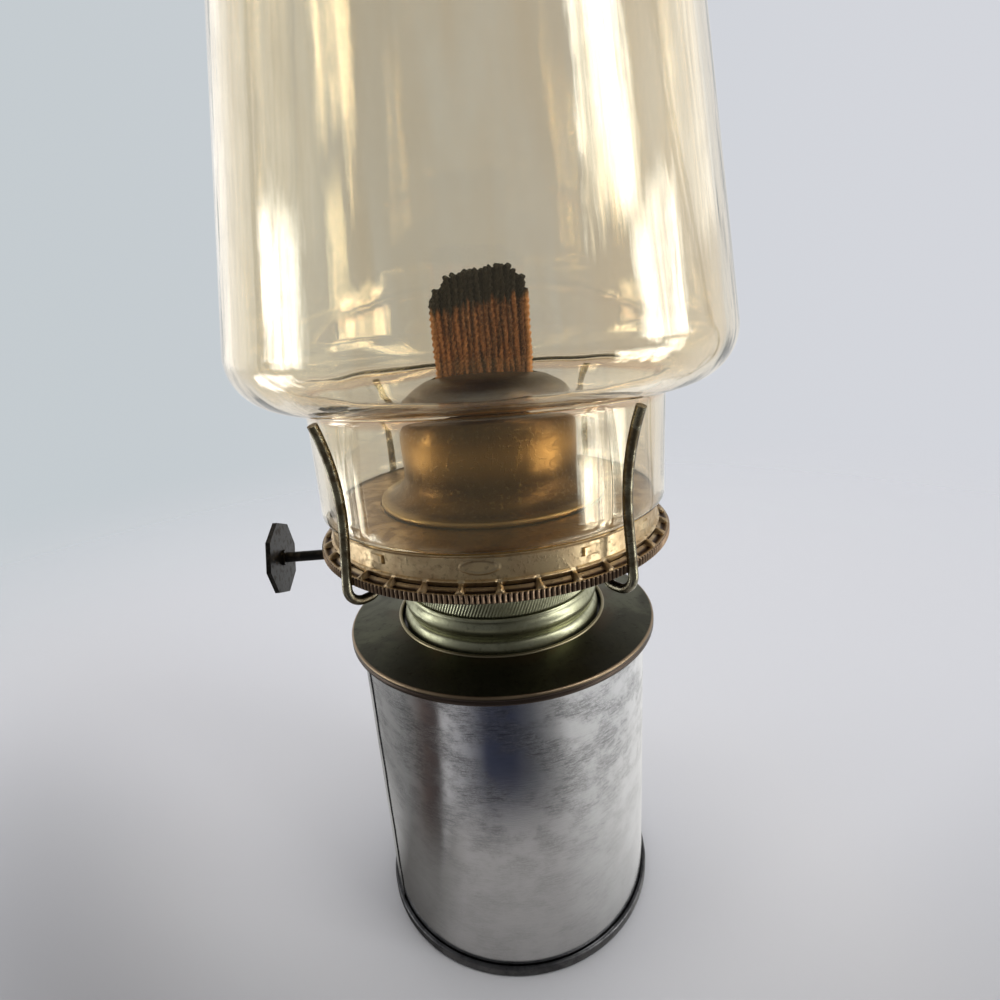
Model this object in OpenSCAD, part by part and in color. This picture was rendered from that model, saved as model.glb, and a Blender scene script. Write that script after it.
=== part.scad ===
// Oil lamp: a drop-in tin font, a screw-in burner for a flat wick, and a glass chimney.
// Millimetres, +Z up. The origin is on the axis, on the surface that the font stands on.
// The wick's broad faces look along Y, and the wick knob points to -X.

/* [Font] */
// Outer radius of the tin body
can_r = 34; // [29:0.1:36]
// Height of the font, from the table to the top of the brass plate's edge
font_h = 76.5; // [60:0.5:110]
// Thickness of the tinplate
tin_t = 0.4; // [0.3:0.05:0.6]
// How far the bottom seam stands out of the body
seam_out = 0.8; // [0.7:0.1:2.2]
// Height of the bottom seam
seam_h = 2.4; // [2:0.1:5]
// Depth of the sunk panel of the bottom
panel_sink = 1.8; // [1.2:0.1:2.6]
// Width of the lapped side seam inside the body
lap_w = 5; // [3:0.5:9]
// Direction of the side seam round the axis
lap_az = -160; // [-180:5:180]

/* [Brass plate] */
// How far the plate stands out over the body
plate_over = 2.1; // [1.8:0.1:4]
// Thickness of the plate
plate_t = 0.6; // [0.4:0.05:0.8]
// How far the plate rises from its edge to its hole
plate_rise = 1.3; // [0:0.1:2]
// Depth of the turned-down lip, from the top of the plate's edge
plate_lip = 2; // [1.6:0.1:3]
// Gap between the collar and the hole in the plate
plate_gap = 0.75; // [0.4:0.05:1.5]
// Diameter of the wire bead round the hole
plate_bead = 0.8; // [0.5:0.1:1]

/* [Collar] */
// Outer radius of the burner's screw thread
thread_r = 20.75; // [19:0.05:22]
// Clearance between the burner's thread and the collar
thread_clear = 0.1; // [0.05:0.05:0.2]
// Wall of the collar between its beads
collar_wall = 1.1; // [0.8:0.1:1.6]
// Height of the collar above the font's tin top
collar_h = 9.1; // [7:0.1:12]
// How far the lower bead stands out
bead_low = 1.3; // [0.8:0.1:2]
// How far the upper bead stands out
bead_high = 0.9; // [0.4:0.1:1.2]

/* [Burner base] */
// Depth of the screw shell below the knurled band
shell_h = 8.4; // [6:0.1:12]
// How far the knurled band stands out of the thread
band_step = 1.05; // [0.6:0.05:1.5]
// Height of the knurled band
band_h = 3.8; // [3:0.1:6]
// Thickness of the burner's sheet brass
brass_t = 0.5; // [0.4:0.05:0.6]
// Outer radius of the vent tube
vent_r = 1.6; // [1.2:0.1:2]
// Length of the wick tube below the screw shell
tube_below = 8; // [0:0.5:20]
// Height of the air basket
basket_h = 8.7; // [8:0.1:12]
// Number of air holes in each row of the basket
basket_holes = 32; // [16:1:40]
// Radius of an air hole
air_hole_r = 0.9; // [0.6:0.05:1.1]

/* [Gallery] */
// How far the milled rim stands out of the glass
rim_over = 1.2; // [1.1:0.1:2.5]
// Height of the milled rim
rim_h = 1.8; // [1.6:0.1:4]
// Radial width of the milled rim
rim_w = 1.2; // [1:0.1:1.6]
// Width of the basket's flange inside the milled rim
flange_w = 5; // [4.5:0.1:6]
// Height of the gallery, from under the rim to the deck that the glass stands on
gallery_h = 8.7; // [7.5:0.1:12]
// Number of air windows round the gallery
window_n = 34; // [24:1:38]
// Share of the way round that is open window
window_share = 0.7; // [0.5:0.05:0.75]
// How far the deck's edge stands in from the outside of the glass
seat_in = 0.6; // [0.4:0.1:0.9]
// How far the plain upright band stands in from the deck's edge
wall_in = 1; // [0.8:0.1:1.3]

/* [Chimney] */
// Outer radius of the chimney's neck, a 3 inch fitter
neck_r = 38; // [36:0.1:40]
// Height of the neck
neck_h = 23.9; // [18:0.1:30]
// Thickness of the glass
glass_t = 1.8; // [1.4:0.1:2.4]
// Largest radius of the bulge
bulge_r = 51; // [49:0.1:54]
// Radius of the rounded shoulder
shoulder_r = 9.5; // [7:0.1:11]
// Radius lost over each millimetre of height above the shoulder
taper = 0.15; // [0.1:0.01:0.18]
// Height of the whole chimney
chimney_h = 178; // [150:1:190]

/* [Prongs] */
// Diameter of the spring wire
wire_d = 1.9; // [1.2:0.1:2]
// Gap between a prong and the glass
grip_gap = 0.25; // [0.2:0.05:0.5]
// Gap between a prong and the milled rim
rim_gap = 0.35; // [0.3:0.05:0.6]
// How far a prong dips below the milled rim
hook_drop = 4.4; // [4:0.1:6]
// Lean of a prong towards the glass
lean = 6; // [4:0.5:8]
// Lean of a prong's tip away from the glass
flare = 20; // [12:1:24]

/* [Deflector] */
// Radius of the dome's straight wall
dome_r = 19.5; // [17:0.1:20.5]
// Height of the dome above the deck
dome_h = 25.9; // [24:0.1:29]
// Radius of the dome's round shoulder
dome_round = 12; // [9:0.5:14]
// Radius of the dome's foot bead
foot_r = 25.4; // [24.5:0.1:27]
// Height of the flared foot
foot_h = 6.6; // [5:0.1:8]
// Gap round the wick in the dome's slot
slot_gap = 1; // [0.8:0.1:1.5]

/* [Wick] */
// Width of the wick, seven eighths of an inch less its shrinkage
wick_w = 21.2; // [18:0.1:24]
// Thickness of the wick
wick_t = 3; // [2.4:0.1:3.4]
// Length of the wick
wick_len = 121; // [110:1:125]
// Height of the wick above the dome
wick_show = 22.6; // [0:0.1:25]
// Clearance round the wick in its tube
wick_clear = 0.3; // [0.2:0.05:0.5]
// Wall of the wick tube
tube_t = 0.4; // [0.3:0.05:0.5]
// Depth of the wick tube's top below the top of the dome
tube_drop = 5.8; // [4:0.1:8]

/* [Wick raiser] */
// Radius of the spur wheels
wheel_r = 3.2; // [2.8:0.1:3.6]
// Thickness of a spur wheel
wheel_t = 0.8; // [0.6:0.1:1.2]
// Number of teeth on a spur wheel
wheel_teeth = 12; // [8:1:16]
// Gap between the spur wheels and the wick
wheel_gap = 0.2; // [0.15:0.05:0.4]
// Radius of the shaft
shaft_r = 1.15; // [0.9:0.05:1.3]
// Running clearance round the shaft
run_clear = 0.06; // [0.03:0.01:0.1]
// Depth of the shaft's axis below the milled rim
shaft_drop = 2.2; // [2:0.1:3]
// Distance from the axis to the outer face of the knob
knob_reach = 49.5; // [46:0.1:50.5]
// Width of the knob across its flats
knob_w = 15.5; // [12:0.5:18]
// Thickness of the knob's disc
knob_t = 1; // [0.8:0.1:1.6]
// How far the knob's hub stands out round the shaft, and along it
knob_hub = 0.6; // [0.4:0.1:1.6]

/* [Hidden] */
$fn = 96;

// Directions of the prongs round the axis. On this lamp they stand a little unevenly.
prong_az = [-135, -53, 47, 135];

// Font heights and radii
plate_z = font_h - plate_t;
tin_top = plate_z;
plate_r = can_r + plate_over;
seam_r = can_r + seam_out;
hook_t = 0.6;
hook_h = 1.3;

// Collar and burner base
collar_in = thread_r + thread_clear;
collar_r = collar_in + collar_wall;
plate_hole_r = collar_r + bead_low + plate_gap;
collar_top = tin_top + collar_h;
seat_gap = 0.1;
band_z = collar_top + seat_gap;
band_r = thread_r + band_step;
shell_in = thread_r - 2 * brass_t;
floor_z = band_z + brass_t;
basket_z = band_z + band_h;

// Gallery
rim_z = basket_z + basket_h;
rim_r = neck_r + rim_over;
deck_z = rim_z + gallery_h;
seat_r = neck_r - seat_in;
wall_r = seat_r - wall_in;
shelf_out = rim_r - 0.4;
shelf_z = rim_z + rim_h;
shelf_rise = 0.9;
flange_r = rim_r - rim_w;
cone_r = flange_r - flange_w;

// Dome, wick tube and wick
dome_top = deck_z + dome_h;
tube_x = wick_w / 2 + wick_clear;
tube_y = wick_t / 2 + wick_clear;
tube_top = dome_top - tube_drop;
tube_low = band_z - shell_h - tube_below;
wick_top = dome_top + wick_show;

// Wick raiser
shaft_y = -(wick_t / 2 + wheel_gap + wheel_r);
shaft_z = rim_z - shaft_drop;
house_x = wick_w / 2 - 0.2;
house_gap = 0.5;
house_y = shaft_y - wheel_r - house_gap;
house_lo = shaft_z - wheel_r - house_gap;
house_hi = shaft_z + wheel_r + house_gap;
bush_t = 0.75;
bush_out = (rim_z - shaft_z > shaft_r + run_clear + bush_t) ? cone_r - 0.6 : cone_r - 2;
wheel_x = [-7.8, -2.6, 2.6, 7.8];

// Prongs
shoulder_z = deck_z + neck_h;
foot_hole_r = cone_r + wire_d / 2 + 0.2;
bend_in = 1.8;
bend_out = 3.4;
hook_z = rim_z - hook_drop + wire_d / 2;
hook_r = rim_r + rim_gap + wire_d / 2;
grip_r = neck_r + grip_gap + wire_d / 2;
tip_z = shoulder_z - 0.3 - wire_d / 2;

// Points of an arc in a profile, from angle a0 to angle a1
function arc(x, z, r, a0, a1, n = 10) =
  [for (i = [0:n]) let (a = a0 + (a1 - a0) * i / n) [x + r * cos(a), z + r * sin(a)]];

// Flat ring from radius r0 to r1, with its underside at z
module ring(r0, r1, z, h) {
  translate([0, 0, z])
    difference() {
      cylinder(r = r1, h = h);
      translate([0, 0, -1])
        cylinder(r = r0, h = h + 2);
    }
}

// Copies children n times round the axis
module around(n, offset = 0) {
  for (i = [0:n - 1])
    rotate([0, 0, offset + 360 * i / n])
      children();
}

// Flat tube or bar with round edges, centred on the axis
module flat_bar(x, y, h) {
  linear_extrude(h)
    union() {
      square([2 * (x - y), 2 * y], center = true);
      for (s = [-1, 1])
        translate([s * (x - y), 0])
          circle(y);
    }
}

// Tin tube with a lapped side seam inside and its thin joint line outside
module can_body() {
  color([0.72, 0.73, 0.75])
    difference() {
      union() {
        ring(can_r - tin_t, can_r, tin_t, tin_top - 2 * tin_t);
        rotate([0, 0, lap_az])
          intersection() {
            ring(can_r - 2 * tin_t, can_r - tin_t / 2, seam_h + hook_t, tin_top - seam_h - 2 * hook_t - hook_h);
            translate([can_r / 2, -lap_w / 2, 0])
              cube([can_r, lap_w, font_h]);
          }
      }
      rotate([0, 0, lap_az])
        translate([can_r - tin_t / 3, lap_w / 2 - 0.2, seam_h])
          cube([tin_t, 0.4, tin_top - seam_h - hook_h - tin_t]);
    }
}

// Bottom of the font: a sunk panel, and a seam folded round the end of the body
module can_bottom() {
  body_in = can_r - tin_t;
  soft = 0.5;
  color([0.55, 0.56, 0.58])
    rotate_extrude()
      polygon(concat(
        [[0, panel_sink], [body_in - 2 * hook_t, panel_sink], [body_in - hook_t, 0]],
        arc(seam_r - soft, soft, soft, -90, 0, 5),
        arc(seam_r - soft, seam_h - soft, soft, 0, 90, 5),
        [[can_r, seam_h], [can_r, tin_t], [body_in, tin_t], [body_in, seam_h],
         [body_in - hook_t, seam_h], [body_in - hook_t, panel_sink + tin_t], [0, panel_sink + tin_t]]
      ));
}

// Tin top of the font, folded over the end of the body, with the hole for the collar
module can_top() {
  body_in = can_r - tin_t;
  seam_top_r = plate_r - plate_t - 0.3;
  color([0.6, 0.61, 0.63])
    rotate_extrude()
      polygon([
        [collar_r, tin_top - tin_t], [body_in - hook_t, tin_top - tin_t],
        [body_in - hook_t, tin_top - hook_h - tin_t], [body_in, tin_top - hook_h - tin_t],
        [body_in, tin_top - tin_t], [can_r, tin_top - tin_t], [can_r, tin_top - hook_h],
        [seam_top_r, tin_top - hook_h], [seam_top_r, tin_top], [collar_r, tin_top]
      ]);
}

// Brass plate that the font hangs by, with a turned-down lip and a wire bead round its hole
module top_plate() {
  soft = plate_t;
  flat_r = plate_r - 2 * plate_t;
  color([0.36, 0.33, 0.2])
    union() {
      rotate_extrude()
        polygon(concat(
          [[plate_hole_r, plate_z + plate_rise], [flat_r, plate_z], [plate_r - plate_t, plate_z],
           [plate_r - plate_t, font_h - plate_lip], [plate_r, font_h - plate_lip]],
          arc(plate_r - soft, font_h - soft, soft, 0, 90, 6),
          [[flat_r, font_h], [plate_hole_r, font_h + plate_rise]]
        ));
      translate([0, 0, font_h + plate_rise])
        rotate_extrude()
          translate([plate_hole_r + plate_bead / 2, 0])
            circle(plate_bead / 2, $fn = 24);
    }
}

// Brass collar soldered into the tin top, with two rolled beads
module collar() {
  skirt = 1.4;
  low_h = collar_h * 0.46;
  high_z = tin_top + collar_h * 0.49;
  high_h = collar_h * 0.45;
  color([0.66, 0.64, 0.42])
    rotate_extrude()
      polygon(concat(
        [[collar_in, tin_top - skirt], [collar_r, tin_top - skirt], [collar_r, tin_top],
         [collar_r + bead_low, tin_top]],
        [for (i = [1:8]) [collar_r + bead_low * cos(90 * i / 8), tin_top + low_h * (0.35 + 0.65 * sin(90 * i / 8))]],
        [for (i = [0:12]) [collar_r + bead_high * sin(180 * i / 12), high_z + high_h * i / 12]],
        [[collar_r, collar_top], [collar_in, collar_top]]
      ));
}

// Screw shell of the burner, with its knurled band. The thread is made as plain rolled rings.
module burner_base() {
  pitch = shell_h / 4;
  color([0.6, 0.57, 0.36])
    rotate_extrude()
      polygon(concat(
        [[shell_in, band_z - shell_h], [thread_r - brass_t, band_z - shell_h]],
        [for (i = [0:23]) [thread_r - brass_t / 2 * (1 - sin(360 * i / 8 - 90)),
                           band_z - shell_h + pitch * (0.2 + i / 8)]],
        [[thread_r - brass_t, band_z], [band_r, band_z], [band_r, basket_z],
         [shell_in + brass_t, basket_z], [shell_in + brass_t, band_z + brass_t], [shell_in, band_z + brass_t]]
      ));
}

// Plate that closes the burner's base and carries the wick tube and the vent tube
module burner_floor() {
  color([0.55, 0.5, 0.3])
    difference() {
      translate([0, 0, floor_z])
        cylinder(r = shell_in + brass_t, h = brass_t);
      translate([0, 0, floor_z - 1])
        flat_bar(tube_x + tube_t, tube_y + tube_t, brass_t + 2);
      translate([0, vent_y(), floor_z - 1])
        cylinder(r = vent_r, h = brass_t + 2);
    }
}

function vent_y() = (tube_y + tube_t + shell_in) / 2;

// Small tube that lets air into the font as the oil burns away
module vent_tube() {
  color([0.6, 0.52, 0.3])
    translate([0, vent_y(), band_z - shell_h / 2])
      difference() {
        cylinder(r = vent_r, h = shell_h / 2 + band_h);
        translate([0, 0, -1])
          cylinder(r = vent_r - tube_t, h = shell_h / 2 + band_h + 2);
      }
}

// Radius of the basket's outer face at a height above its foot
function cone_at(z) = band_r - brass_t + (cone_r - band_r + brass_t) * z / basket_h;

// Perforated cone that lets air in from below and carries the gallery
module air_basket() {
  tilt = atan(basket_h / (cone_r - band_r + brass_t));
  color([0.56, 0.48, 0.26])
    difference() {
      rotate_extrude()
        polygon([
          [cone_at(0) - 1.2, basket_z], [cone_at(0), basket_z], [cone_r, rim_z], [flange_r, rim_z],
          [flange_r, rim_z + brass_t], [cone_r - 0.7, rim_z + brass_t]
        ]);
      for (row = [0, 1])
        around(basket_holes, row * 180 / basket_holes)
          translate([cone_at(basket_h * (0.25 + 0.33 * row)), 0, basket_z + basket_h * (0.25 + 0.33 * row)])
            rotate([0, 90 - tilt + 90, 0])
              translate([0, 0, -3])
                cylinder(r = air_hole_r, h = 6, $fn = 24);
      translate([-flange_r, shaft_y, shaft_z])
        rotate([0, 90, 0])
          cylinder(r = shaft_r + run_clear + bush_t, h = flange_r / 2);
      for (az = prong_az)
        rotate([0, 0, az])
          translate([foot_hole_r, 0, rim_z - 1])
            cylinder(r = wire_d / 2 + 0.3, h = 3);
    }
}

// Perforated plate under the dome that spreads the air round the flame
module air_diffuser() {
  color([0.58, 0.5, 0.28])
    difference() {
      translate([0, 0, deck_z - 2 * brass_t])
        cylinder(r = foot_r + 1, h = brass_t);
      translate([0, 0, deck_z - 2])
        flat_bar(tube_x + tube_t, tube_y + tube_t, 4);
      for (row = [0:2])
        around(24 + 6 * row, 7 * row)
          translate([foot_r * (0.6 + 0.12 * row), 0, deck_z - 2])
            cylinder(r = air_hole_r, h = 4, $fn = 24);
    }
}

// Gallery: milled rim, a shelf with windows, a plain upright band and the deck under the glass
module gallery() {
  win_w = 2 * PI * shelf_out / window_n * window_share;
  wall_z = shelf_z + shelf_rise;
  color([0.62, 0.5, 0.24])
    difference() {
      union() {
        rotate_extrude()
          polygon(concat(
            [[flange_r, rim_z], [rim_r - 0.3, rim_z], [rim_r, rim_z + 0.3], [rim_r, shelf_z - 0.4],
             [shelf_out, shelf_z], [wall_r + 0.5, wall_z - 0.1], [wall_r + 0.5, wall_z + 0.7],
             [wall_r + 0.15, wall_z + 1.1]],
            arc(seat_r - 0.5, deck_z - 0.5, 0.5, 0, 90, 5),
            [[foot_r - 0.8, deck_z], [foot_r - 0.8, deck_z - brass_t], [wall_r - brass_t, deck_z - brass_t],
             [wall_r - brass_t, wall_z - brass_t], [flange_r, shelf_z - brass_t]]
          ));
        around(window_n, 180 / window_n)
          translate([(shelf_out + wall_r) / 2, 0, shelf_z + 0.35])
            cube([shelf_out - wall_r - 0.6, 1.1, 1], center = true);
      }
      around(window_n)
        translate([wall_r + 0.75, -win_w / 2, shelf_z - 1])
          cube([shelf_out - wall_r - 1.05, win_w, 3]);
    }
}

// One run of wire: straight lengths [length, 0] and bends [radius, angle], one after the other.
// A positive bend turns the wire towards -X.
module wire(runs, i = 0) {
  if (i < len(runs)) {
    step = runs[i];
    if (step[1] == 0) {
      cylinder(d = wire_d, h = step[0], $fn = 24);
      translate([0, 0, step[0]])
        wire(runs, i + 1);
    } else {
      side = sign(step[1]);
      translate([-side * step[0], 0, 0]) {
        rotate([90, 0, side > 0 ? 0 : 180])
          rotate_extrude(angle = abs(step[1]))
            translate([step[0], 0])
              circle(d = wire_d, $fn = 24);
        rotate([0, -step[1], 0])
          translate([side * step[0], 0, 0])
            wire(runs, i + 1);
      }
    }
  }
}

// Spring prong: it starts in the basket's flange, hooks under the rim and hugs the glass
module prong(az) {
  reach = hook_r - foot_hole_r - bend_in - bend_out;
  foot_len = rim_z + brass_t - hook_z - bend_in;
  lean_in = hook_r - bend_out * (1 - cos(lean)) - grip_r;
  climb = tip_z - hook_z - bend_out * (1 + sin(lean));
  waist = (climb - lean_in / tan(lean)) / (sin(lean) + sin(flare) - (1 - cos(lean)) / tan(lean));
  rise = (lean_in - waist * (1 - cos(lean))) / sin(lean);
  color([0.5, 0.47, 0.3])
    rotate([0, 0, az])
      translate([foot_hole_r, 0, rim_z + brass_t])
        rotate([180, 0, 0]) {
          wire([
            [foot_len, 0], [bend_in, -90], [reach, 0], [bend_out, -90 - lean], [rise, 0],
            [waist, lean + flare]
          ]);
        }
}
module prong_front_left() { prong(prong_az[0]); }
module prong_front_right() { prong(prong_az[1]); }
module prong_back_right() { prong(prong_az[2]); }
module prong_back_left() { prong(prong_az[3]); }

// Flat brass tube that guides the wick, with windows for the spur wheels
module wick_tube() {
  reach = wheel_r + 0.4;
  depth = abs(shaft_y) - tube_y - tube_t;
  win_h = 2 * sqrt(reach * reach - depth * depth);
  color([0.66, 0.56, 0.32])
    difference() {
      translate([0, 0, tube_low])
        flat_bar(tube_x + tube_t, tube_y + tube_t, tube_top - tube_low);
      translate([0, 0, tube_low - 1])
        flat_bar(tube_x, tube_y, tube_top - tube_low + 2);
      for (x = wheel_x)
        translate([x - wheel_t / 2 - 0.3, -tube_y - tube_t - 1, shaft_z - win_h / 2])
          cube([wheel_t + 0.6, tube_t + 2, win_h]);
    }
}

// Small sheet box over the spur wheels, with the shaft's bearings in its ends
module wheel_housing() {
  back = -(tube_y + tube_t);
  color([0.6, 0.5, 0.28])
    difference() {
      translate([-house_x, house_y - tube_t, house_lo - tube_t])
        cube([2 * house_x, back - house_y + tube_t, house_hi - house_lo + 2 * tube_t]);
      translate([-house_x + 2 * tube_t, house_y, house_lo])
        cube([2 * house_x - 4 * tube_t, back - house_y + 1, house_hi - house_lo]);
      translate([-house_x - 1, shaft_y, shaft_z])
        rotate([0, 90, 0])
          cylinder(r = shaft_r + run_clear, h = 2 * house_x + 2);
    }
}

// Sleeve that carries the shaft through the wall of the basket
module shaft_bushing() {
  bush_in = cone_at(shaft_z - basket_z) - 3.5;
  color([0.3, 0.27, 0.18])
    translate([-bush_out, shaft_y, shaft_z])
      rotate([0, 90, 0])
        difference() {
          cylinder(r = shaft_r + run_clear + bush_t, h = bush_out - bush_in);
          translate([0, 0, -1])
            cylinder(r = shaft_r + run_clear, h = bush_out - bush_in + 2);
        }
}

// Shaft from the knob to the far side of the wheel housing, peened over outside the knob
module wick_shaft() {
  color([0.12, 0.11, 0.1])
    translate([-knob_reach, shaft_y, shaft_z])
      rotate([0, 90, 0])
        union() {
          cylinder(r = shaft_r, h = knob_reach + house_x + 0.8);
          translate([0, 0, -0.6])
            cylinder(r1 = shaft_r, r2 = shaft_r + 0.5, h = 0.6);
        }
}

// Toothed wheels that bite into the wick
module spur_wheels() {
  root_r = wheel_r * 0.72;
  color([0.5, 0.42, 0.24])
    for (x = wheel_x)
      translate([x - wheel_t / 2, shaft_y, shaft_z])
        rotate([90, 0, 90])
          linear_extrude(wheel_t)
            difference() {
              polygon([for (i = [0:2 * wheel_teeth - 1])
                let (r = i % 2 == 0 ? wheel_r : root_r, a = 180 * i / wheel_teeth) [r * cos(a), r * sin(a)]]);
              circle(shaft_r);
            }
}

// Stamped eight-sided knob with a small hub, a corner upwards at rest
module knob() {
  color([0.1, 0.09, 0.08])
    translate([-knob_reach, shaft_y, shaft_z])
      rotate([0, 90, 0])
        difference() {
          union() {
            cylinder(r = knob_w / 2 / cos(22.5), h = knob_t, $fn = 8);
            cylinder(r = shaft_r + knob_hub, h = knob_t + knob_hub);
          }
          translate([0, 0, -1])
            cylinder(r = shaft_r, h = knob_t + 4);
        }
}

// Flat woven wick, trimmed with both corners rounded, the left one more
module wick() {
  left_round = 6.5;
  right_round = 4.5;
  color([0.42, 0.22, 0.12])
    translate([0, 0, wick_top - wick_len])
      intersection() {
        flat_bar(wick_w / 2, wick_t / 2, wick_len);
        rotate([90, 0, 0])
          linear_extrude(wick_t + 2, center = true)
            polygon(concat(
              [[-wick_w, 0], [wick_w, 0], [wick_w, wick_len - right_round - 1]],
              [[wick_w / 2, wick_len - right_round - 1]],
              arc(wick_w / 2 - right_round, wick_len - right_round, right_round, 0, 90, 8),
              arc(-wick_w / 2 + left_round, wick_len - left_round, left_round, 90, 180, 8),
              [[-wick_w / 2, wick_len - left_round - 1], [-wick_w, wick_len - left_round - 1]]
            ));
      }
}

// Domed air deflector with a slot for the flame, a flared foot and a rolled foot bead
module deflector() {
  t = brass_t;
  top_r = dome_r - dome_round;
  round_z = dome_top - 0.3 - dome_round;
  flare_r = foot_r - 1 - dome_r;
  flare_h = foot_h - 1.2;
  steps = 8;
  color([0.55, 0.43, 0.2])
    difference() {
      rotate_extrude()
        polygon(concat(
          [[foot_r - 1 - t, deck_z]],
          arc(foot_r - 0.6, deck_z + 0.6, 0.6, -90, 110, 8),
          [for (i = [1:steps]) [dome_r + flare_r * (1 - sin(90 * i / steps)),
                                deck_z + 1.2 + flare_h * (1 - cos(90 * i / steps))]],
          arc(top_r, round_z, dome_round, 0, 84, 12),
          [[0, dome_top], [0, dome_top - t]],
          arc(top_r, round_z, dome_round - t, 84, 0, 12),
          [for (i = [steps:-1:1]) [dome_r - t + flare_r * (1 - sin(90 * i / steps)),
                                   deck_z + 1.2 + flare_h * (1 - cos(90 * i / steps))]],
          [[foot_r - 1 - t, deck_z + 1.2]]
        ));
      translate([0, 0, round_z])
        flat_bar(wick_w / 2 + slot_gap, wick_t / 2 + slot_gap, dome_round + 5);
    }
}

// Outline of the chimney, in or out of its outer face by t
function chimney_side(t) =
  let (
    a = atan(taper),
    fold = 2.2,
    round_r = min(shoulder_r, bulge_r - neck_r - fold),
    side_r = bulge_r - round_r,
    top_r = side_r + round_r * (1 / cos(a) + tan(a)) - taper * (chimney_h - neck_h)
  )
  concat(
    [[neck_r - t, deck_z]],
    [[neck_r - t, shoulder_z - fold + t * 0.4]],
    arc(neck_r + fold, shoulder_z - fold, fold + t, 180, 90, 6),
    arc(side_r, shoulder_z + round_r, round_r - t, -90, a, 12),
    [[top_r - t / cos(a), deck_z + chimney_h]]
  );

// Glass chimney: fitter neck, flat rounded shoulder and a long even taper
module chimney() {
  outer = chimney_side(0);
  inner = chimney_side(glass_t);
  n = len(inner);
  color([0.9, 0.83, 0.6, 0.4])
    rotate_extrude()
      polygon(concat(outer, [for (i = [n - 1:-1:0]) inner[i]]));
}

can_body();
can_bottom();
can_top();
top_plate();
collar();
burner_base();
burner_floor();
air_basket();
air_diffuser();
gallery();
prong_front_left();
prong_front_right();
prong_back_right();
prong_back_left();
wick_tube();
vent_tube();
wheel_housing();
shaft_bushing();
wick_shaft();
spur_wheels();
knob();
wick();
deflector();
chimney();
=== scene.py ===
import math
import random

import bmesh
import bpy
from mathutils import Matrix, Vector, noise

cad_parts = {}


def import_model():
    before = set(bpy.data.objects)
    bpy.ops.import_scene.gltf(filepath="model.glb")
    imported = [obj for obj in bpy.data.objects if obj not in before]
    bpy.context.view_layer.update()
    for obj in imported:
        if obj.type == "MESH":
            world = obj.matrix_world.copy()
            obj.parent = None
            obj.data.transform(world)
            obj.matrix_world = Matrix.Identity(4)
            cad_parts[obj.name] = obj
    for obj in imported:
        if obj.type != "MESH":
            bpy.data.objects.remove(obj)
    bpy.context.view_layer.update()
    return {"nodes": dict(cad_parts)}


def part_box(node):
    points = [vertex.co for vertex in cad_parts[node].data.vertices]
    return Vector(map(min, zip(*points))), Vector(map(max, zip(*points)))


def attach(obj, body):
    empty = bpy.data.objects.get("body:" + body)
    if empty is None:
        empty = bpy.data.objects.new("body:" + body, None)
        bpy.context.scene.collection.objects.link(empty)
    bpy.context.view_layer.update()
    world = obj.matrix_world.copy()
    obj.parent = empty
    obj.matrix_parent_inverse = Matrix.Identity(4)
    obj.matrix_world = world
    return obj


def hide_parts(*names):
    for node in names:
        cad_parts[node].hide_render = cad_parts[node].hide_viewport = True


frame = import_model()

MM = 0.001
TAU = 2 * math.pi

# The photograph's camera, in the frame of the model
CAMERA_AT = (0.0, -0.12946, 0.14529)
CAMERA_YAW = 0.635
CAMERA_PITCH = 17.823
CAMERA_ROLL = -4.066
FOCAL_PIXELS = 587.73
PHOTO_PIXELS = 1000
SENSOR = 36.0
NEAREST_SEEN = 0.005


def camera():
    yaw, pitch, roll = (math.radians(a) for a in (CAMERA_YAW, CAMERA_PITCH, CAMERA_ROLL))
    ahead = Vector((math.sin(yaw) * math.cos(pitch), math.cos(yaw) * math.cos(pitch), -math.sin(pitch)))
    level = Vector((math.cos(yaw), -math.sin(yaw), 0))
    over = level.cross(ahead)
    right = level * math.cos(roll) + over * math.sin(roll)
    up = over * math.cos(roll) - level * math.sin(roll)
    data = bpy.data.cameras.new("camera")
    data.sensor_width = SENSOR
    data.lens = FOCAL_PIXELS / PHOTO_PIXELS * SENSOR
    data.clip_start = NEAREST_SEEN
    obj = bpy.data.objects.new("camera", data)
    turn = Matrix((right, up, -ahead)).transposed().to_4x4()
    obj.matrix_world = Matrix.Translation(CAMERA_AT) @ turn
    bpy.context.scene.collection.objects.link(obj)
    bpy.context.scene.camera = obj


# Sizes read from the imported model
font_low, font_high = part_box("can_body")
_, seam_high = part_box("can_bottom")
plate_low, plate_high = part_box("top_plate")
collar_low, collar_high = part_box("collar")
base_low, base_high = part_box("burner_base")
gallery_low, gallery_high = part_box("gallery")
_, dome_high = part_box("deflector")
_, glass_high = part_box("chimney")
wick_low, wick_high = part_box("wick")


def bore(node):
    """Smallest distance of a node's points from the lamp's axis."""
    return min(v.co.xy.length for v in frame["nodes"][node].data.vertices)


CAN_R = font_high.x
SEAM_R = seam_high.x
SEAM_TOP = seam_high.z
PLATE_R = plate_high.x
PLATE_HOLE = bore("top_plate")
PLATE_BEAD = 0.4 * MM
PLATE_RISE = 1.3 * MM
PLATE_TOP = plate_high.z - PLATE_BEAD - PLATE_RISE
RIM_R = gallery_high.x
RIM_Z = gallery_low.z
DECK_Z = gallery_high.z
FOOT_R = dome_high.x
DOME_TOP = dome_high.z
BULGE_R = glass_high.x
GLASS_TOP = glass_high.z
SHOULDER_Z = DECK_Z + 23.9 * MM
TIN = 0.4 * MM
SHEET = 0.5 * MM

# Azimuth of the font's lapped seam, and size, length and phase of the waves that its edge strays by, in mm
SEAM_AT = math.radians(-155)
SEAM_WAVES = ((0.16, 3.1, 0), (0.09, 1.3, 1))


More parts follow.
